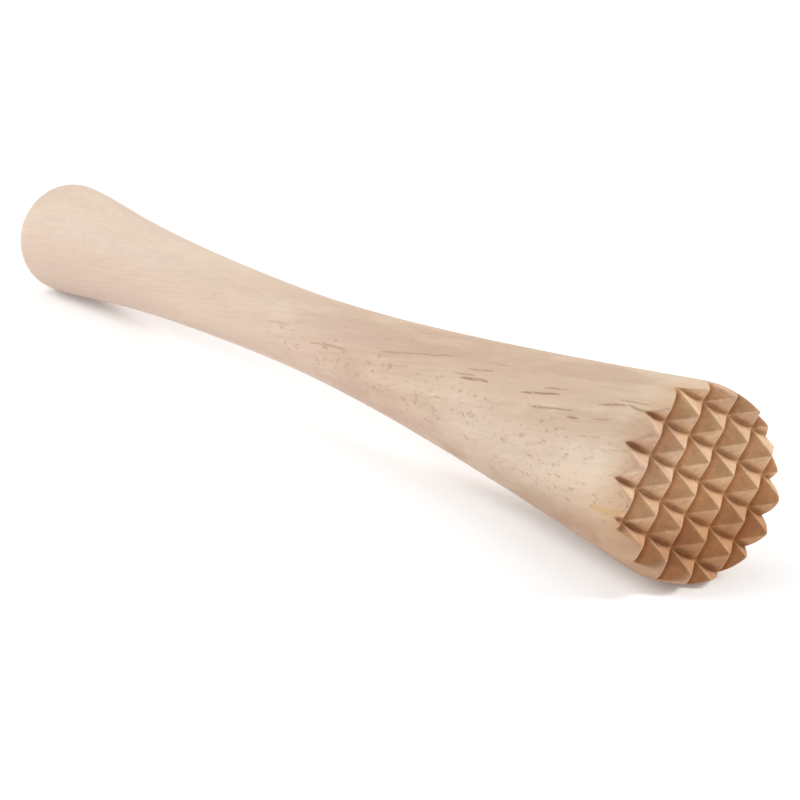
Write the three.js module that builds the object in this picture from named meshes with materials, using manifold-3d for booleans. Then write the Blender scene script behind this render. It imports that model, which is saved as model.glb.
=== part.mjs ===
// Cocktail muddler: one turned piece of pale hardwood, lying on its side with the toothed head towards +X.
import * as THREE from "three";
import { mergeVertices, toCreasedNormals } from "three/addons/utils/BufferGeometryUtils.js";
import Module from "manifold-3d";

const wasm = await Module();
wasm.setup();

// Sizes in millimetres. Places are measured along the axis from the knob's end.
const totalLength = 229.8;
const facets = 48; // sides of the turned surface

// Knob: small flat where the turning was parted off, then a rounded edge
const knobRadius = 10.85;
const knobEdge = 5.65;
const knobFlat = knobRadius - knobEdge;

// Grip: narrows from the knob to the waist, then flares into the head
const waistRadius = 7.5;
const waistAt = 81.5;
const gripEaseKnob = 12.4; // how long each curve keeps its direction at its ends
const gripEaseWaist = 56;
const flareEaseWaist = 23;
const flareEaseHead = 86;
const flareSlope = 0.12; // gain in radius per millimetre where the flare meets the head

// Head: widest ring, a barrelled side that curves in towards the end, and a rounded shoulder
const headRadius = 18.85;
const headRingAt = 221.2;
const barrelRadius = 20;
const shoulderRadius = 3;

// Teeth: five V-grooves each way, each set cut in one pass and a little off the centre
const toothPitch = 6.6;
const toothRise = 4.8; // from a valley to a tooth point
const groovesEachWay = 5;
const grooveTurn = -32.4; // degrees about the axis
const firstPass = { valleyAt: 224.2, shift: -0.97, turn: grooveTurn };
const secondPass = { valleyAt: 224.24, shift: -1.12, turn: grooveTurn + 90 };
// The grooves were cut a few degrees out of square
const cutterAxis = new THREE.Vector3(-0.066, 1, 0.033).normalize();
const cutterLean = new THREE.Quaternion().setFromUnitVectors(new THREE.Vector3(0, 1, 0), cutterAxis);

// Closed solid from a three.js geometry
function solidFrom(geometry) {
  const bare = new THREE.BufferGeometry().setIndex(geometry.index);
  bare.setAttribute("position", geometry.getAttribute("position"));
  const welded = mergeVertices(bare, 1e-4);
  return new wasm.Manifold(
    new wasm.Mesh({
      numProp: 3,
      vertProperties: new Float32Array(welded.getAttribute("position").array),
      triVerts: new Uint32Array(welded.index.array),
    }),
  );
}

// Geometry for a mesh, with sharp edges kept sharp
function geometryFrom(solid) {
  const { vertProperties, triVerts } = solid.getMesh();
  const geometry = new THREE.BufferGeometry();
  geometry.setAttribute("position", new THREE.BufferAttribute(vertProperties, 3));
  geometry.setIndex(new THREE.BufferAttribute(triVerts, 1));
  return toCreasedNormals(geometry, Math.PI / 6);
}

// Outline of the turning: x is the radius, y the place along the axis
function turnedOutline() {
  const edge = new THREE.EllipseCurve(
    knobFlat, knobEdge, knobEdge, knobEdge, -Math.PI / 2, 0,
  );
  const grip = new THREE.CubicBezierCurve(
    new THREE.Vector2(knobRadius, knobEdge),
    new THREE.Vector2(knobRadius, knobEdge + gripEaseKnob),
    new THREE.Vector2(waistRadius, waistAt - gripEaseWaist),
    new THREE.Vector2(waistRadius, waistAt),
  );
  const shoulderAt = totalLength - shoulderRadius;
  const shoulderReach = barrelRadius - shoulderRadius;
  const shoulderStart = Math.asin((shoulderAt - headRingAt) / shoulderReach);
  const barrel = new THREE.EllipseCurve(
    headRadius - barrelRadius, headRingAt, barrelRadius, barrelRadius, -Math.atan(flareSlope), shoulderStart,
  );
  const shoulder = new THREE.EllipseCurve(
    headRadius - barrelRadius + shoulderReach * Math.cos(shoulderStart), shoulderAt,
    shoulderRadius, shoulderRadius, shoulderStart, Math.PI / 2,
  );
  const flareEnd = barrel.getPoint(0);
  const flare = new THREE.CubicBezierCurve(
    new THREE.Vector2(waistRadius, waistAt),
    new THREE.Vector2(waistRadius, waistAt + flareEaseWaist),
    new THREE.Vector2(flareEnd.x - flareSlope * flareEaseHead, flareEnd.y - flareEaseHead),
    flareEnd,
  );
  return [
    new THREE.Vector2(0, 0),
    ...edge.getPoints(8),
    ...grip.getPoints(14).slice(1),
    ...flare.getPoints(16).slice(1),
    ...barrel.getPoints(6).slice(1),
    ...shoulder.getPoints(6).slice(1),
    new THREE.Vector2(0, totalLength),
  ];
}

// V-shaped bar that cuts one groove across the end, at its distance from the axis
function grooveBar(offset, valleyAt, turn) {
  const height = 2 * toothRise; // clear of the shoulder on the deeper side
  const halfWidth = (height / toothRise) * (toothPitch / 2);
  const length = 2 * headRadius + 8;
  const vee = new THREE.Shape()
    .moveTo(0, 0)
    .lineTo(halfWidth, height)
    .lineTo(-halfWidth, height)
    .closePath();
  return new THREE.ExtrudeGeometry(vee, { depth: length, bevelEnabled: false })
    .translate(offset, 0, -length / 2)
    .rotateY(THREE.MathUtils.degToRad(turn))
    .applyQuaternion(cutterLean)
    .translate(0, valleyAt, 0);
}

// Lean of the axis when the widest parts of the knob and the head both touch the table
function restingLean(outline) {
  const flatness = Math.cos(Math.PI / facets);
  const middle = outline.findIndex((point) => point.y >= waistAt);
  const knob = outline.slice(0, middle);
  const head = outline.slice(middle);
  const lean = (a, b) => Math.atan2((b.x - a.x) * flatness, b.y - a.y);
  let touch = knob.reduce((best, point) => (point.x > best.x ? point : best));
  let rest = head[0];
  for (let round = 0; round < 3; round++) {
    rest = head.reduce((best, point) => (lean(touch, point) > lean(touch, best) ? point : best));
    touch = knob.reduce((best, point) => (lean(point, rest) < lean(best, rest) ? point : best));
  }
  return lean(touch, rest);
}

const outline = turnedOutline();
const blank = new THREE.LatheGeometry(outline, facets, Math.PI / facets);

let turned = solidFrom(blank);
for (const { valleyAt, shift, turn } of [firstPass, secondPass]) {
  for (let i = 0; i < groovesEachWay; i++) {
    const offset = (i - (groovesEachWay - 1) / 2) * toothPitch + shift;
    turned = turned.subtract(solidFrom(grooveBar(offset, valleyAt, turn)));
  }
}

const body = new THREE.Mesh(
  geometryFrom(turned),
  new THREE.MeshStandardMaterial({ color: "#dcc2a6", roughness: 0.62, metalness: 0 }),
);
body.name = "turned_body";
body.rotation.z = -Math.PI / 2;

// The turned axis lies along +X, leaned until both ends rest on the table
const muddler = new THREE.Group();
muddler.name = "cocktail_muddler";
const lying = new THREE.Group();
lying.rotation.y = -restingLean(outline);
lying.add(body);
muddler.add(lying);
muddler.updateMatrixWorld(true);

const box = new THREE.Box3().setFromObject(muddler, true);
const middle = box.getCenter(new THREE.Vector3());
lying.position.set(-middle.x, -middle.y, -box.min.z);

export default muddler;
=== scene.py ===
from math import asin, atan, atan2, cos, hypot, pi, radians, sin, sqrt, tan

import bmesh
import bpy
from mathutils import Matrix, Vector
from mathutils.geometry import interpolate_bezier


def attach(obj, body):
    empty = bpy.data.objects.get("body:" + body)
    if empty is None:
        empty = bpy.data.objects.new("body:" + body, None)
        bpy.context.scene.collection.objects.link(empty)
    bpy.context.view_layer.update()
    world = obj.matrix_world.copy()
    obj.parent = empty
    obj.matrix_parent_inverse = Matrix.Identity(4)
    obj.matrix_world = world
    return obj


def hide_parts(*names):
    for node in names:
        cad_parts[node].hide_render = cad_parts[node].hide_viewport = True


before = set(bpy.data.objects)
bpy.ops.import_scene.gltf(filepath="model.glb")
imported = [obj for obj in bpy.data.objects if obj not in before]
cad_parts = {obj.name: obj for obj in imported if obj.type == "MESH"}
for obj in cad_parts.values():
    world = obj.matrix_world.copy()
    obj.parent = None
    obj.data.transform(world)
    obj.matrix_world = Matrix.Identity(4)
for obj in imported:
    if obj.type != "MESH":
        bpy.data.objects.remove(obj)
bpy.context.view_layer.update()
mm = 0.001

# Camera: a long lens a little above the table, looking along the muddler onto its teeth
viewFinder = {
    "place": (1380.91, -899.95, 537.05),  # mm
    "aim": (75.05, -41.55, 33.35),  # mm
    "lens": 405,
    "sensor": 36,
    "farthest": 20,  # m
}


def makeCamera():
    camera = bpy.data.objects.new("viewFinder", bpy.data.cameras.new("viewFinder"))
    place = Vector(viewFinder["place"]) * mm
    aim = Vector(viewFinder["aim"]) * mm
    camera.location = place
    camera.rotation_mode = "QUATERNION"
    camera.rotation_quaternion = (aim - place).to_track_quat("-Z", "Y")
    camera.data.lens = viewFinder["lens"]
    camera.data.sensor_width = viewFinder["sensor"]
    camera.data.clip_end = viewFinder["farthest"]
    bpy.context.collection.objects.link(camera)
    bpy.context.scene.camera = camera


makeCamera()
print("camera set")

# The turning, in mm: places are measured along its axis from the knob's end
turning = {
    "length": 229.8,
    "knobRadius": 10.85,
    "knobEdge": 5.65,
    "waistRadius": 7.5,
    "waistAt": 81.5,
    "gripEase": (12.4, 56),  # how long the grip keeps its direction at the knob and at the waist
    "flareEase": (23, 86),  # the same for the flare, at the waist and at the head
    "flareSlope": 0.12,
    "headRadius": 18.85,
    "headRingAt": 221.2,
    "barrelRadius": 20,  # how the head's side curves in towards the end
    "shoulder": 3.0,  # rounding between that side and the flat end
    "restLean": 2.1245,  # degrees, with knob and head both on the table
    "knobEnd": (-114.952, 0, 10.610),
    # how finely it is spun
    "sides": 384,
    "knobRows": 12,
    "gripPoints": 26,
    "flarePoints": 36,
    "flankRows": 12,
    "flankEase": 1.8,  # above 1, rows on the head's side lie closer together towards its sharp rim
    "blankRise": 10,  # height of the head's side before the teeth are cut
    "nudge": 0.01,  # tells one ring of the blank from the next
}

# Two crossed sets of V-grooves, cut a few degrees out of square and a little off the centre
teeth = {
    "pitch": 6.6,
    "groovesEachWay": 5,
    "rise": 4.8,  # from a valley to a tooth point
    "passes": (
        {"valleyAt": 224.2, "shift": -0.97, "turn": -32.4},
        {"valleyAt": 224.24, "shift": -1.12, "turn": 57.6},
    ),
    "cutterAxis": (-0.066, 1, 0.033),
    "bulge": 0.12,  # how much fuller than flat the walls are
    "valleySoft": 0.12,  # mm, how far the cutter and later sanding round each edge
    "hipSoft": 0.45,
    "landSoft": 0.7,
    "notchSoft": 1.4,
    "notchDepth": 1.5,  # a groove this deep at the rim has its notch rounded in full
    "leastSoft": 0.001,
    "wallShadeSoft": 0.3,  # how wide the change from a wall with painted shade to one without is
    # how finely the rim is found and the end is divided
    "rimBetween": (12.0, 22.0),
    "rimRounds": 24,
    "rimSteps": 1440,
    "blankRounds": 3,
    "rimArc": (75, 60, 45, 30, 15, 0),  # degrees down the rounded rim
    "outerRings": 4,  # how far in from the rim the rings stay close together
    "outerStep": 0.32,
    "innerStep": 0.8,
    "valleyScores": (0, -0.1, 0.1, -0.26, 0.26),  # lines scored along each valley and each hip
    "hipScores": (0, -0.11, 0.11, -0.25, 0.25),
}

cutterTurn = Vector((0, 1, 0)).rotation_difference(Vector(teeth["cutterAxis"])).to_matrix()
valleyAt = teeth["passes"][0]["valleyAt"]
outermost = teeth["groovesEachWay"] // 2
flankStart = turning["headRingAt"] - turning["barrelRadius"] * sin(atan(turning["flareSlope"]))
blankTop = flankStart + turning["blankRise"]
barrelCentre = turning["headRadius"] - turning["barrelRadius"]
shoulderAt = turning["length"] - turning["shoulder"]
shoulderReach = turning["barrelRadius"] - turning["shoulder"]
shoulderTurn = asin((shoulderAt - turning["headRingAt"]) / shoulderReach)
shoulderCentre = barrelCentre + shoulderReach * cos(shoulderTurn)


def clamp(value):
    return min(max(value, 0), 1)


def softMin(a, b, soft):
    blend = max(soft - abs(a - b), 0) / soft
    return min(a, b) - blend * blend * soft / 4


def headRadiusAt(along):
    return barrelCentre + sqrt(turning["barrelRadius"] ** 2 - (along - turning["headRingAt"]) ** 2)


# Height of the uncut end at a radius: flat, then the shoulder's arc, then straight on past its end
def blankEndAt(radius):
    out = radius - shoulderCentre
    if out <= 0:
        return turning["length"]
    last = turning["shoulder"] * cos(shoulderTurn)
    if out <= last:
        return shoulderAt + sqrt(turning["shoulder"] ** 2 - out * out)
    return shoulderAt + turning["shoulder"] * sin(shoulderTurn) - (out - last) / tan(shoulderTurn)


# Places on the cut end are u and w across the cutter's axis and a height along it
def cutterPoint(u, height, w):
    return cutterTurn @ Vector((u, height, w)) + Vector((0, valleyAt, 0))


def blankHeight(u, w):
    height = teeth["rise"]
    for step in range(teeth["blankRounds"]):
        point = cutterPoint(u, height, w)
        height += blankEndAt(hypot(point.x, point.z)) - point.y
    return height


# Height of each pass's groove wall over one place, and which side of its groove that wall is on
def grooveWalls(u, w):
    half = teeth["pitch"] / 2
    soft = teeth["valleySoft"]
    walls = []
    for cut in teeth["passes"]:
        turn = radians(cut["turn"])
        across = u * cos(turn) - w * sin(turn) - cut["shift"]
        nearest = max(-outermost, min(outermost, round(across / teeth["pitch"])))
        side = across - nearest * teeth["pitch"]
        away = (sqrt(side * side + soft * soft) - soft) / half
        wall = teeth["rise"] * (away + teeth["bulge"] * away * max(1 - away, 0))
        walls.append((wall + cut["valleyAt"] - valleyAt, side))
    return walls


def grooveHeight(u, w):
    first, second = grooveWalls(u, w)
    return softMin(first[0], second[0], teeth["hipSoft"])


# Painted shade: one wall of each of the first pass's grooves, the one turned away from the key light, is
# marked to be darkened and browned
def wallShadeShare(u, w):
    first, second = grooveWalls(u, w)
    owner = clamp(0.5 + (second[0] - first[0]) / teeth["hipSoft"])
    return owner * clamp(0.5 - first[1] / teeth["wallShadeSoft"])


def cutDepth(u, w):
    return max(blankHeight(u, w) - grooveHeight(u, w), 0)


def endHeight(u, w):
    return softMin(grooveHeight(u, w), blankHeight(u, w), teeth["landSoft"])


# How far the cut end reaches from the axis in one direction before it meets the turned side
def rimReach(angle, drop):
    near, far = teeth["rimBetween"]
    for step in range(teeth["rimRounds"]):
        reach = (near + far) / 2
        u, w = reach * cos(angle), reach * sin(angle)
        point = cutterPoint(u, endHeight(u, w) - drop, w)
        if hypot(point.x, point.z) < headRadiusAt(point.y):
            near = reach
        else:
            far = reach
    return near


# The same with the notches' edges rounded: how far the end reaches, and by how much its edge is rounded
def softRim(angle):
    reach = rimReach(angle, 0)
    notched = clamp(cutDepth(reach * cos(angle), reach * sin(angle)) / teeth["notchDepth"])
    drop = max(teeth["notchSoft"] * notched, teeth["leastSoft"])
    return rimReach(angle, drop), drop


rims = [softRim(2 * pi * i / teeth["rimSteps"]) for i in range(teeth["rimSteps"])]


def rimAt(angle):
    place = angle / (2 * pi) * len(rims)
    low = int(place // 1)
    part = place - low
    before, after = rims[low % len(rims)], rims[(low + 1) % len(rims)]
    return [a * (1 - part) + b * part for a, b in zip(before, after)]


# Half outline from the knob's end to the middle of the toothed end, as (radius, along)
def halfOutline():
    t = turning
    knobFlat = t["knobRadius"] - t["knobEdge"]
    points = [(0, 0), (knobFlat / 2, 0)]
    for row in range(t["knobRows"] + 1):
        turn = pi / 2 * row / t["knobRows"]
        points.append((knobFlat + t["knobEdge"] * sin(turn), t["knobEdge"] * (1 - cos(turn))))
    flareEnd = headRadiusAt(flankStart)
    grip = (
        (t["knobRadius"], t["knobEdge"]),
        (t["knobRadius"], t["knobEdge"] + t["gripEase"][0]),
        (t["waistRadius"], t["waistAt"] - t["gripEase"][1]),
        (t["waistRadius"], t["waistAt"]),
    )
    flare = (
        (t["waistRadius"], t["waistAt"]),
        (t["waistRadius"], t["waistAt"] + t["flareEase"][0]),
        (flareEnd - t["flareSlope"] * t["flareEase"][1], flankStart - t["flareEase"][1]),
        (flareEnd, flankStart),
    )
    for curve, count in ((grip, t["gripPoints"]), (flare, t["flarePoints"])):
        knots = [Vector((x, y, 0)) for x, y in curve]
        points += [(p.x, p.y) for p in interpolate_bezier(*knots, count)[1:]]
    for row in range(1, t["flankRows"] + 1):
        up = 1 - (1 - row / t["flankRows"]) ** t["flankEase"]
        points.append((t["headRadius"], flankStart + t["blankRise"] * up))
    # rings of the end: over the rounded rim, then close together, then wider apart
    inset = [teeth["notchSoft"] * (1 - sin(radians(a))) for a in teeth["rimArc"]]
    while inset[-1] < t["headRadius"] - 1:
        step = teeth["outerStep"] if inset[-1] < teeth["outerRings"] else teeth["innerStep"]
        inset.append(inset[-1] + step)
    points += [(t["headRadius"] - step, blankTop) for step in inset]
    points.append((0, blankTop))
    return points


outline = halfOutline()


# Planes along the valleys, tips and hips, so that the mesh has an edge wherever the teeth do
def toothLines():
    pitch = teeth["pitch"]
    lines = []
    ways = []
    for cut in teeth["passes"]:
        turn = radians(cut["turn"])
        across = Vector((cos(turn), 0, -sin(turn)))
        ways.append(across)
        for groove in range(-outermost, outermost + 1):
            lines += [(across, groove * pitch + cut["shift"] + aside) for aside in teeth["valleyScores"]]
            lines.append((across, (groove + 0.5) * pitch + cut["shift"]))
        lines.append((across, -(outermost + 0.5) * pitch + cut["shift"]))
    first, second = teeth["passes"]
    for side in (1, -1):
        hip = (ways[0] + ways[1] * side).normalized()
        for crossing in range(-2 * outermost - 1, 2 * outermost + 2):
            offset = (crossing * pitch + first["shift"] + second["shift"] * side) / sqrt(2)
            lines += [(hip, offset + aside) for aside in teeth["hipScores"]]
    return lines


def spinBlank():
    bm = bmesh.new()
    verts = [bm.verts.new((x, y, 0)) for x, y in outline]
    edges = [bm.edges.new(pair) for pair in zip(verts, verts[1:])]
    bmesh.ops.spin(
        bm, geom=verts + edges, cent=(0, 0, 0), axis=(0, 1, 0), angle=2 * pi,
        steps=turning["sides"], use_merge=True, use_duplicate=False,
    )
    bmesh.ops.remove_doubles(bm, verts=bm.verts, dist=1e-4)
    return bm


# Stretch the head to the rim that the teeth will have, then score it along every tooth edge
def scoreHead(bm):
    headStart = flankStart + turning["nudge"]
    for v in bm.verts:
        if v.co.y > headStart:
            stretch = rimAt(atan2(v.co.z, v.co.x))[0] / turning["headRadius"]
            v.co.x *= stretch
            v.co.z *= stretch
    faces = [f for f in bm.faces if min(v.co.y for v in f.verts) > headStart]
    head = list(dict.fromkeys(g for f in faces for g in (*f.verts, *f.edges))) + faces
    for across, offset in toothLines():
        plane = {"plane_co": across * offset, "plane_no": across}
        head = bmesh.ops.bisect_plane(bm, geom=head, dist=turning["nudge"], **plane)["geom"]


# Move the scored head to its cut form, and mark how deep and how high the cut is, and which walls get
# painted shade
def cutTeeth(bm):
    endCut = bm.verts.layers.float.new("endCut")
    toothRise = bm.verts.layers.float.new("toothRise")
    paintedWallShade = bm.verts.layers.float.new("paintedWallShade")
    for v in bm.verts:
        if v.co.y <= flankStart + turning["nudge"]:
            continue
        angle = atan2(v.co.z, v.co.x)
        reach, edge = rimAt(angle)
        if v.co.y < blankTop - turning["nudge"]:
            # the head's side, drawn up to the rim
            up = (v.co.y - flankStart) / turning["blankRise"]
            u, w = reach * cos(angle), reach * sin(angle)
            rim = cutterPoint(u, endHeight(u, w) - edge, w)
            swing = (atan2(rim.z, rim.x) - angle + pi) % (2 * pi) - pi
            along = flankStart + up * (rim.y - flankStart)
            radius = headRadiusAt(along)
            v.co = (radius * cos(angle + swing * up), along, radius * sin(angle + swing * up))
        else:
            u, w = v.co.x, v.co.z
            inset = max(reach - hypot(u, w), 0)
            over = max(1 - inset / edge, 0)
            drop = edge * (1 - sqrt(max(1 - over * over, 0)))
            height = endHeight(u, w)
            v[endCut] = min(cutDepth(u, w) / teeth["rise"], 1)
            v[toothRise] = height / teeth["rise"]
            v[paintedWallShade] = wallShadeShare(u, w)
            v.co = cutterPoint(u, height - drop, w)
    many = [f for f in bm.faces if len(f.verts) > 4]
    bmesh.ops.triangulate(bm, faces=many, quad_method="BEAUTY", ngon_method="BEAUTY")


# Lay it on the table, in metres
def layDown(bm):
    lying = Matrix.Translation(turning["knobEnd"])
    lying = lying @ Matrix.Rotation(-radians(turning["restLean"]), 4, "Y")
    lying = lying @ Matrix.Rotation(-pi / 2, 4, "Z")
    bmesh.ops.transform(bm, matrix=Matrix.Scale(mm, 4) @ lying, verts=bm.verts)
    bmesh.ops.recalc_face_normals(bm, faces=bm.faces)


def makeMuddler():
    bm = spinBlank()
    scoreHead(bm)
    print("head scored:", len(bm.faces), "faces")
    cutTeeth(bm)
    layDown(bm)
    for f in bm.faces:
        f.smooth = True
    mesh = bpy.data.meshes.new("muddler")
    bm.to_mesh(mesh)
    bm.free()
    piece = bpy.data.objects.new("muddler", mesh)
    bpy.context.collection.objects.link(piece)
    return piece


muddler = makeMuddler()
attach(muddler, "root")
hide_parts("turned_body")
muddler.data.calc_loop_triangles()
print("muddler made:", len(muddler.data.loop_triangles), "triangles")

# Pale hardwood, lightly sanded and unfinished, in mm. A fade is the place it follows, where it starts and
# ends, and its two values where they aren't 0 and 1.
wood = {
    "grainRise": 9.6,  # degrees above the turned axis, towards the head
    "grainBend": 1.6,
    # each pattern's length and width along the grain
    "bends": (45, 14),
    "fibres": (22, 0.5),
    "drifts": (70, 9),
    "mottle": (9, 3),
    "clusters": (24, 8),
    "torn": (3, 1.1),
    "wobble": (8, 4),
    "ragged": (6, 0.35),
    # colour of the bare wood
    "cream": (0.63, 0.485, 0.355, 1),
    "tan": (0.53, 0.38, 0.272, 1),
    "toneFade": (0.38, 0.62),  # from tan to cream
    "mottleShare": 0.45,
    "fibreShare": 0.22,
    "tornShare": 0.5,  # uneven colour where the cutter tore the end
    "tornDetail": 4.0,
    "pink": (0.54, 0.368, 0.277, 1),
    "pith": (14, -58),  # centre of the growth rings, across and up
    "ringWidth": 8.5,
    "ringDrift": 1.6,
    "ringStrength": 0.5,
    "patches": (
        # paler towards the knob
        {"colour": (0.67, 0.54, 0.44, 1), "fades": (("along", 160, 40, 0, 0.75),)},
        # the pale band along the near side of the flare, and its end between the notches: partly the wood's
        # own cream, partly a painted highlight
        {
            "colour": (0.68, 0.555, 0.44, 1),
            "fades": (("up", 10, 3), ("up", -9, -2), ("along", 135, 175, 0, 0.5)),
        },
        {
            "colour": (0.68, 0.555, 0.44, 1),
            "fades": (
                ("turned", 0.75, 0.4),
                ("up", -3, 4),
                ("along", 195, 220, 0, 0.5),
                ("along", 228, 224),
            ),
            "sideOnly": True,
        },
        # pinker low on the grip
        {"tint": (1.0, 0.95, 0.94, 1), "fades": (("up", 6, 0), ("along", 180, 140))},
        # warmer on the head, and again beside the teeth
        {"tint": (0.97, 0.89, 0.80, 1), "fades": (("along", 190, 222), ("up", 9, -3))},
        {"tint": (0.98, 0.89, 0.80, 1), "fades": (("along", 219, 227), ("up", -11, -3)), "sideOnly": True},
        # painted shade: darker and browner along the underside of the head
        {"tint": (0.83, 0.73, 0.65, 1), "fades": (("up", 1, -11), ("along", 130, 215))},
    ),
    # open pores: long ones on the upper side, short ones on both flanks where the grain runs out
    "poreColour": (0.28, 0.15, 0.075, 1),
    "poreSoft": 0.14,
    "longPores": {"Length": 16.0, "Width": 0.8, "Start": 0.62},
    "longFades": (("up", -2, 7, 0.15, 0.3),),
    "shortPores": {"Length": 2.4, "Width": 0.95, "Start": 0.55},
    "shortFades": (
        ("flank", 0.8, 0.45, 0.1, 0.42),
        ("flank", -0.5, -0.1, 0.3, 1),
        ("clusters", 0.36, 0.5, 0.4, 1),
    ),
    "poreFades": (("along", 40, 130, 0.12, 1),),
    "poresLost": 0.5,  # on the cut end
    # dark streaks, from one place to another: each along the axis and turned up from the near side in
    # degrees, then width and strength
    "streaks": (
        (91, 22, 99, 26, 0.6, 0.35),
        (107, 14.5, 120, 26, 0.7, 0.55),
        (132, 37, 144, 48, 0.7, 0.4),
        (143, 47, 155, 57, 0.7, 0.45),
        (148.5, 13, 149.5, 5, 0.7, 0.45),
        (159, 42.5, 166.5, 46, 0.6, 0.45),
        (162, 40, 172, 44, 1.0, 0.8),
        (162.5, 50, 171, 54, 0.7, 0.55),
        (167, 14, 168.5, 9, 0.9, 0.5),
        (168, -6, 170, -8.5, 1.0, 0.45),
        (184, 44, 196, 51.5, 0.8, 0.9),
        (190, 53, 197.5, 57, 0.6, 0.6),
        (190, 37, 203.5, 43, 0.7, 0.65),
        (203, 37.5, 207, 39.5, 0.9, 0.8),
        (210, 52, 219, 56, 0.8, 0.75),
        (210, 30, 217.5, 32, 0.6, 0.4),
        (211, 42, 217, 44.5, 0.6, 0.45),
        (215, 59, 224, 62.5, 0.7, 0.6),
        (218.5, 57, 227, 59, 0.8, 0.7),
    ),
    "streakTip": 0.08,  # half the width that a streak still has at its ends
    "raggedFade": (0.3, 0.5, 0.25, 1),
    "honeyStreak": (218, -6.5, 229, -5, 2.4, 0.8),
    "honey": (0.57, 0.34, 0.15, 1),
    # the cut end: browner, less so towards the near side; painted light spares the near rim most of the
    # brown and lightens its walls, and painted shade darkens the grooves and the near rim's notches
    "cutFade": (0, 0.3),
    "cutTint": (1.08, 0.97, 0.83, 1),
    "cutFades": (("across", -18, 2, 0.7, 1),),
    # painted shade on the tooth walls turned away from the key light
    "wallShadeTint": (0.86, 0.76, 0.66, 1),
    # painted light: the near rim's notch walls are lightened where the lights leave them shaded
    "rimLightTint": (1.15, 1.08, 0.99, 1),
    "rimFades": (("radius", 13, 16.5), ("across", -3, -9)),
    "rimLightShare": 0.95,  # share of the brown that the near rim is spared: painted light
    # painted shade down in the grooves, deepest at the valleys
    "grooveShadeTint": (0.76, 0.63, 0.50, 1),
    "grooveShadeFades": (("height", 0.04, 0.26, 1, 0),),
    "slotShadeTint": (0.72, 0.62, 0.53, 1),  # painted shade down in the notches of the near rim
    # sheen and relief
    "roughness": 0.5,
    "fibreRoughness": 0.12,
    "poreRoughness": 0.2,
    "cutRoughness": 0.12,
    "specular": 0.35,
    "fibreRelief": 0.35,
    "reliefStrength": 0.35,
    "reliefDepth": 0.15,
}


def addNode(tree, kind, settings=None, **inputs):
    node = tree.nodes.new(kind)
    for name, value in (settings or {}).items():
        setattr(node, name, value)
    for name, value in inputs.items():
        socket = node.inputs[int(name[1:])] if name[1:].isdigit() else node.inputs[name]
        if isinstance(value, bpy.types.NodeSocket):
            tree.links.new(value, socket)
        else:
            socket.default_value = value
    return node


def calc(tree, operation, a, b=0.0, c=0.0):
    return addNode(tree, "ShaderNodeMath", {"operation": operation}, i0=a, i1=b, i2=c).outputs[0]


def vectorCalc(tree, operation, a, b=(0, 0, 0)):
    node = addNode(tree, "ShaderNodeVectorMath", {"operation": operation}, i0=a, i1=b)
    return node.outputs["Value" if operation in ("LENGTH", "DOT_PRODUCT") else "Vector"]


def mixColour(tree, factor, a, b, blend="MIX"):
    node = addNode(tree, "ShaderNodeMix", {"data_type": "RGBA", "blend_type": blend}, i0=factor, i6=a, i7=b)
    return node.outputs[2]


def fade(tree, value, start, end, low=0.0, high=1.0):
    settings = {"interpolation_type": "SMOOTHSTEP"}
    node = addNode(tree, "ShaderNodeMapRange", settings, i0=value, i1=start, i2=end, i3=low, i4=high)
    return node.outputs[0]


# All the fades of one zone multiplied together
def zone(tree, at, fades):
    masks = [fade(tree, at[name], *limits) for name, *limits in fades]
    mask = masks[0]
    for other in masks[1:]:
        mask = calc(tree, "MULTIPLY", mask, other)
    return mask


# Noise drawn out along the grain: long and wide are the size of its features
def grainNoise(tree, grain, long, wide, detail=2.0):
    place = vectorCalc(tree, "DIVIDE", grain, (long, wide, wide))
    return addNode(tree, "ShaderNodeTexNoise", None, Vector=place, Scale=1.0, Detail=detail)


def makeGroup(name, inputs):
    group = bpy.data.node_groups.new(name, "ShaderNodeTree")
    for label, kind in inputs:
        group.interface.new_socket(label, in_out="INPUT", socket_type=kind)
    group.interface.new_socket("Mask", in_out="OUTPUT", socket_type="NodeSocketFloat")
    start = group.nodes.new("NodeGroupInput").outputs
    end = group.nodes.new("NodeGroupOutput").inputs
    return group, start, end


def useGroup(tree, group, **inputs):
    return addNode(tree, "ShaderNodeGroup", {"node_tree": group}, **inputs).outputs["Mask"]


# Open pores: ragged brown marks drawn out along the grain; a higher start leaves fewer of them
def poreGroup():
    inputs = (("Grain", "NodeSocketVector"), ("Length", "NodeSocketFloat"), ("Width", "NodeSocketFloat"))
    group, start, end = makeGroup("pores", (*inputs, ("Start", "NodeSocketFloat")))
    long, wide = start["Length"], start["Width"]
    size = addNode(group, "ShaderNodeCombineXYZ", None, X=long, Y=wide, Z=wide).outputs[0]
    place = vectorCalc(group, "DIVIDE", start["Grain"], size)
    specks = addNode(group, "ShaderNodeTexNoise", None, Vector=place, Scale=1.0, Detail=3.0, Roughness=0.6)
    full = calc(group, "ADD", start["Start"], wood["poreSoft"])
    group.links.new(fade(group, specks.outputs[0], start["Start"], full), end["Mask"])
    return group


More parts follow.
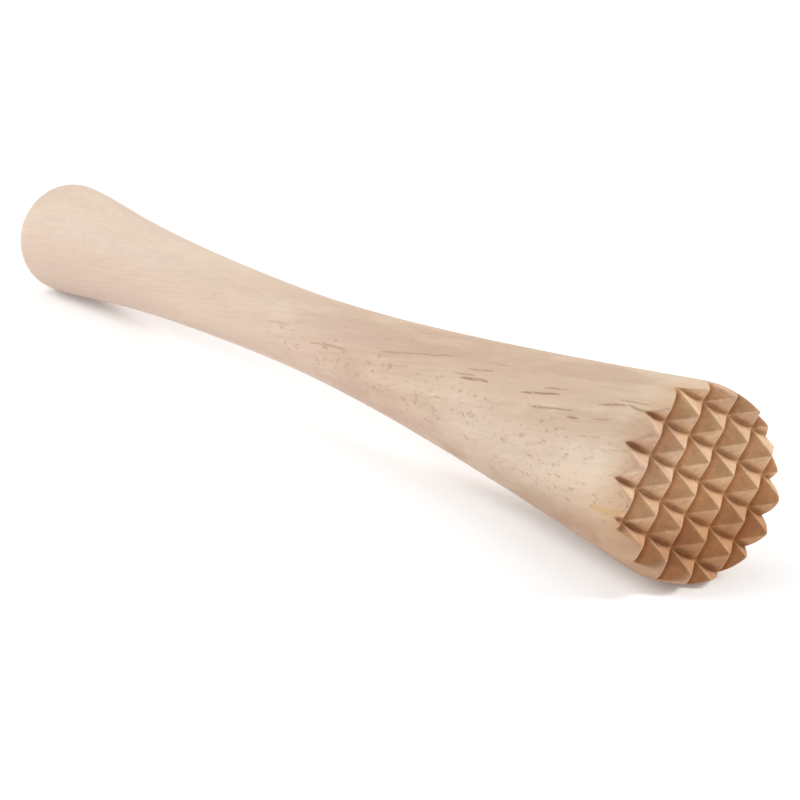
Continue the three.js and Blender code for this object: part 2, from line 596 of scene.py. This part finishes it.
# One dark streak between two places, thickest in its middle and a little ragged
def streakGroup():
    inputs = (("Place", "NodeSocketVector"), ("From", "NodeSocketVector"), ("To", "NodeSocketVector"))
    group, start, end = makeGroup("streak", (*inputs, ("Width", "NodeSocketFloat")))
    run = vectorCalc(group, "SUBTRACT", start["To"], start["From"])
    away = vectorCalc(group, "SUBTRACT", start["Place"], start["From"])
    part = vectorCalc(group, "DOT_PRODUCT", away, run)
    part = calc(group, "DIVIDE", part, vectorCalc(group, "DOT_PRODUCT", run, run))
    part = calc(group, "MINIMUM", calc(group, "MAXIMUM", part, 0.0), 1.0)
    nearest = addNode(group, "ShaderNodeVectorMath", {"operation": "SCALE"}, i0=run, Scale=part).outputs[0]
    away = vectorCalc(group, "LENGTH", vectorCalc(group, "SUBTRACT", away, nearest))
    thick = calc(group, "SQRT", calc(group, "MULTIPLY", part, calc(group, "SUBTRACT", 1.0, part)))
    thick = calc(group, "MULTIPLY_ADD", thick, start["Width"], wood["streakTip"])
    mask = fade(group, calc(group, "DIVIDE", away, thick), 0.0, 1.0, 1.0, 0.0)
    ragged = grainNoise(group, start["Place"], *wood["ragged"]).outputs[0]
    ragged = fade(group, ragged, *wood["raggedFade"])
    group.links.new(calc(group, "MULTIPLY", mask, ragged), end["Mask"])
    return group


# Place on the unrolled side, from the way along the axis and the turn up from the near side
def sidePlace(along, turn):
    if along > flankStart:
        radius = headRadiusAt(along)
    else:
        after = next(i for i, point in enumerate(outline) if point[1] > along)
        (r0, a0), (r1, a1) = outline[after - 1], outline[after]
        radius = r0 + (r1 - r0) * (along - a0) / (a1 - a0)
    return along, radius * radians(turn), 0


# Place in the wood, in mm from the knob's end: x along the axis turned up by the rise, y across, z up
def woodPlace(tree, rise):
    place = addNode(tree, "ShaderNodeTexCoord").outputs["Object"]
    mapping = addNode(tree, "ShaderNodeMapping", {"vector_type": "TEXTURE"}, Vector=place)
    mapping.inputs["Location"].default_value = Vector(turning["knobEnd"]) * mm
    mapping.inputs["Rotation"].default_value = (0, -radians(turning["restLean"] + rise), 0)
    mapping.inputs["Scale"].default_value = (mm, mm, mm)
    return mapping.outputs[0]


# What the colours follow: places on the turning, marks of the cut, the grain and its patterns
def readWood(tree):
    place = woodPlace(tree, 0)
    along, across, up = addNode(tree, "ShaderNodeSeparateXYZ", None, Vector=place).outputs
    at = {"place": place, "along": along, "across": across, "up": up}
    square = calc(tree, "MULTIPLY_ADD", across, across, calc(tree, "MULTIPLY", up, up))
    at["radius"] = calc(tree, "SQRT", square)
    at["turned"] = calc(tree, "ARCTAN2", up, calc(tree, "MULTIPLY", across, -1.0))  # from the near side
    at["flank"] = calc(tree, "ARCTAN2", up, calc(tree, "ABSOLUTE", across))  # from either side
    for name, mark in (("cut", "endCut"), ("height", "toothRise"), ("rough", "paintedWallShade")):
        at[name] = addNode(tree, "ShaderNodeAttribute", {"attribute_name": mark}).outputs["Fac"]
    at["cut"] = fade(tree, at["cut"], *wood["cutFade"])
    at["uncut"] = calc(tree, "SUBTRACT", 1.0, at["cut"])
    straight = woodPlace(tree, wood["grainRise"])
    bend = grainNoise(tree, straight, *wood["bends"]).outputs["Color"]
    bend = vectorCalc(tree, "SUBTRACT", bend, (0.5, 0.5, 0.5))
    bend = vectorCalc(tree, "MULTIPLY", bend, (0, wood["grainBend"], wood["grainBend"]))
    at["grain"] = vectorCalc(tree, "ADD", straight, bend)
    for name in ("fibres", "drifts", "mottle", "clusters"):
        at[name] = grainNoise(tree, at["grain"], *wood[name]).outputs[0]
    return at


# Share of the pink growth rings
def growthRings(tree, at):
    out = vectorCalc(tree, "SUBTRACT", at["grain"], (0, *wood["pith"]))
    out = vectorCalc(tree, "LENGTH", vectorCalc(tree, "MULTIPLY", out, (0, 1, 1)))
    turns = calc(tree, "DIVIDE", out, wood["ringWidth"])
    turns = calc(tree, "MULTIPLY_ADD", at["drifts"], wood["ringDrift"], turns)
    rings = calc(tree, "SINE", calc(tree, "MULTIPLY", turns, 2 * pi))
    rings = calc(tree, "MULTIPLY_ADD", rings, 0.5, 0.5)
    return calc(tree, "MULTIPLY", calc(tree, "MULTIPLY", rings, rings), wood["ringStrength"])


def bareColour(tree, at):
    tone = calc(tree, "SUBTRACT", at["drifts"], wood["mottleShare"] / 2)
    tone = calc(tree, "MULTIPLY_ADD", at["mottle"], wood["mottleShare"], tone)
    colour = mixColour(tree, fade(tree, tone, *wood["toneFade"]), wood["tan"], wood["cream"])
    colour = mixColour(tree, growthRings(tree, at), colour, wood["pink"])
    for patch in wood["patches"]:
        mask = zone(tree, at, patch["fades"])
        if "sideOnly" in patch:
            mask = calc(tree, "MULTIPLY", mask, at["uncut"])
        if "tint" in patch:
            colour = mixColour(tree, mask, colour, patch["tint"], "MULTIPLY")
        else:
            colour = mixColour(tree, mask, colour, patch["colour"])
    torn = grainNoise(tree, at["place"], *wood["torn"], wood["tornDetail"]).outputs[0]
    torn = calc(tree, "MULTIPLY", calc(tree, "SUBTRACT", torn, 0.5), at["cut"])
    value = calc(tree, "MULTIPLY_ADD", at["fibres"], wood["fibreShare"], 1 - wood["fibreShare"] / 2)
    value = calc(tree, "MULTIPLY_ADD", torn, wood["tornShare"], value)
    return addNode(tree, "ShaderNodeHueSaturation", None, Value=value, Color=colour).outputs[0]


def poreMarks(tree, at):
    pores = poreGroup()
    long = useGroup(tree, pores, Grain=at["grain"], **wood["longPores"])
    long = calc(tree, "MULTIPLY", long, zone(tree, at, wood["longFades"]))
    short = useGroup(tree, pores, Grain=at["grain"], **wood["shortPores"])
    short = calc(tree, "MULTIPLY", short, zone(tree, at, wood["shortFades"]))
    marks = calc(tree, "MULTIPLY", calc(tree, "MAXIMUM", long, short), zone(tree, at, wood["poreFades"]))
    return calc(tree, "MULTIPLY", marks, calc(tree, "MULTIPLY_ADD", at["cut"], -wood["poresLost"], 1.0))


# One mask for each streak, on the side but not on the teeth
def streakMarks(tree, at, rows):
    streak = streakGroup()
    around = calc(tree, "MULTIPLY", at["turned"], at["radius"])
    unrolled = addNode(tree, "ShaderNodeCombineXYZ", None, X=at["along"], Y=around).outputs[0]
    wobble = grainNoise(tree, at["place"], *wood["wobble"]).outputs["Color"]
    wobble = vectorCalc(tree, "MULTIPLY", vectorCalc(tree, "SUBTRACT", wobble, (0.5, 0.5, 0.5)), (1, 1, 0))
    wavy = vectorCalc(tree, "ADD", unrolled, wobble)
    masks = []
    for fromAlong, fromTurn, toAlong, toTurn, width, strength in rows:
        ends = {"From": sidePlace(fromAlong, fromTurn), "To": sidePlace(toAlong, toTurn)}
        mask = useGroup(tree, streak, Place=wavy, Width=width, **ends)
        shown = calc(tree, "MULTIPLY_ADD", at["cut"], -strength, strength)
        masks.append(calc(tree, "MULTIPLY", mask, shown))
    return masks


# Brown end grain on the cut end, with painted shade on the walls turned from the key light, in the grooves
# and in the near rim's notches, and painted light on the near rim's walls
def cutColour(tree, at, colour):
    unshadedWall = calc(tree, "SUBTRACT", 1.0, at["rough"])
    rim = calc(tree, "MULTIPLY", zone(tree, at, wood["rimFades"]), unshadedWall)
    grooveShade = calc(tree, "MULTIPLY", at["cut"], zone(tree, at, wood["grooveShadeFades"]))
    brown = calc(tree, "MULTIPLY", at["cut"], zone(tree, at, wood["cutFades"]))
    brown = calc(tree, "MULTIPLY", brown, calc(tree, "MULTIPLY_ADD", rim, -wood["rimLightShare"], 1.0))
    tints = {
        "cutTint": brown,
        "wallShadeTint": calc(tree, "MULTIPLY", at["rough"], brown),
        "rimLightTint": calc(tree, "MULTIPLY", rim, at["cut"]),
        "grooveShadeTint": grooveShade,
        "slotShadeTint": calc(tree, "MULTIPLY", rim, grooveShade),
    }
    for name, mask in tints.items():
        colour = mixColour(tree, mask, colour, wood[name], "MULTIPLY")
    return colour


def paleWood():
    material = bpy.data.materials.new("paleWood")
    material.use_nodes = True
    tree = material.node_tree
    shader = tree.nodes["Principled BSDF"]
    at = readWood(tree)
    pores = poreMarks(tree, at)
    honey, *streaks = streakMarks(tree, at, (wood["honeyStreak"], *wood["streaks"]))
    marks = pores
    for streak in streaks:
        marks = calc(tree, "MAXIMUM", marks, streak)
    colour = mixColour(tree, honey, bareColour(tree, at), wood["honey"])
    colour = mixColour(tree, marks, colour, wood["poreColour"])
    tree.links.new(cutColour(tree, at, colour), shader.inputs["Base Color"])
    dull = calc(tree, "MULTIPLY_ADD", at["fibres"], wood["fibreRoughness"], wood["roughness"])
    dull = calc(tree, "MULTIPLY_ADD", marks, wood["poreRoughness"], dull)
    dull = calc(tree, "MULTIPLY_ADD", at["cut"], wood["cutRoughness"], dull)
    tree.links.new(dull, shader.inputs["Roughness"])
    shader.inputs["Specular IOR Level"].default_value = wood["specular"]
    # the pores are sunk, the streaks are only colour
    relief = calc(tree, "MULTIPLY", pores, -1.0)
    relief = calc(tree, "MULTIPLY_ADD", at["fibres"], wood["fibreRelief"], relief)
    bump = addNode(tree, "ShaderNodeBump", None, Height=relief, Strength=wood["reliefStrength"])
    bump.inputs["Distance"].default_value = wood["reliefDepth"] * mm
    tree.links.new(bump.outputs[0], shader.inputs["Normal"])
    return material


muddler.data.materials.append(paleWood())
print("wood finished")

# Studio: a white table that glows a little, a dim white room and three large soft lights, in metres
studio = {
    "tableHalf": 6,
    "tableColour": (0.90, 0.928, 0.95, 1),
    "tableGlow": 0.16,
    "tableRoughness": 0.9,
    "tableSpecular": 0.1,
    "white": (1, 1, 1, 1),
    "room": 0.37,
    "lights": {
        "key": {"place": (0.74, 0.93, 0.80), "aim": (0.06, 0, 0.02), "size": 0.5, "watts": 13.5},
        "fill": {"place": (-0.55, -0.82, 0.92), "aim": (0.04, 0, 0.02), "size": 0.9, "watts": 13},
        "top": {"place": (-0.25, 0.18, 1.25), "aim": (0, 0, 0.02), "size": 1.0, "watts": 3},
    },
}


def makeTable():
    bm = bmesh.new()
    bmesh.ops.create_grid(bm, x_segments=1, y_segments=1, size=studio["tableHalf"])
    mesh = bpy.data.meshes.new("table")
    bm.to_mesh(mesh)
    bm.free()
    table = bpy.data.objects.new("table", mesh)
    bpy.context.collection.objects.link(table)
    material = bpy.data.materials.new("whiteTable")
    material.use_nodes = True
    shader = material.node_tree.nodes["Principled BSDF"]
    shader.inputs["Base Color"].default_value = studio["tableColour"]
    shader.inputs["Roughness"].default_value = studio["tableRoughness"]
    shader.inputs["Specular IOR Level"].default_value = studio["tableSpecular"]
    shader.inputs["Emission Color"].default_value = studio["white"]
    shader.inputs["Emission Strength"].default_value = studio["tableGlow"]
    mesh.materials.append(material)


def makeLights():
    for name, values in studio["lights"].items():
        light = bpy.data.objects.new(name, bpy.data.lights.new(name, "AREA"))
        light.location = values["place"]
        light.rotation_mode = "QUATERNION"
        light.rotation_quaternion = (Vector(values["aim"]) - light.location).to_track_quat("-Z", "Y")
        light.data.size = values["size"]
        light.data.energy = values["watts"]
        bpy.context.collection.objects.link(light)


def makeRoom():
    world = bpy.data.worlds.new("room")
    world.use_nodes = True
    background = world.node_tree.nodes["Background"]
    background.inputs["Color"].default_value = studio["white"]
    background.inputs["Strength"].default_value = studio["room"]
    bpy.context.scene.world = world
    bpy.context.scene.view_settings.view_transform = "Standard"


makeTable()
makeLights()
makeRoom()
print("studio set")
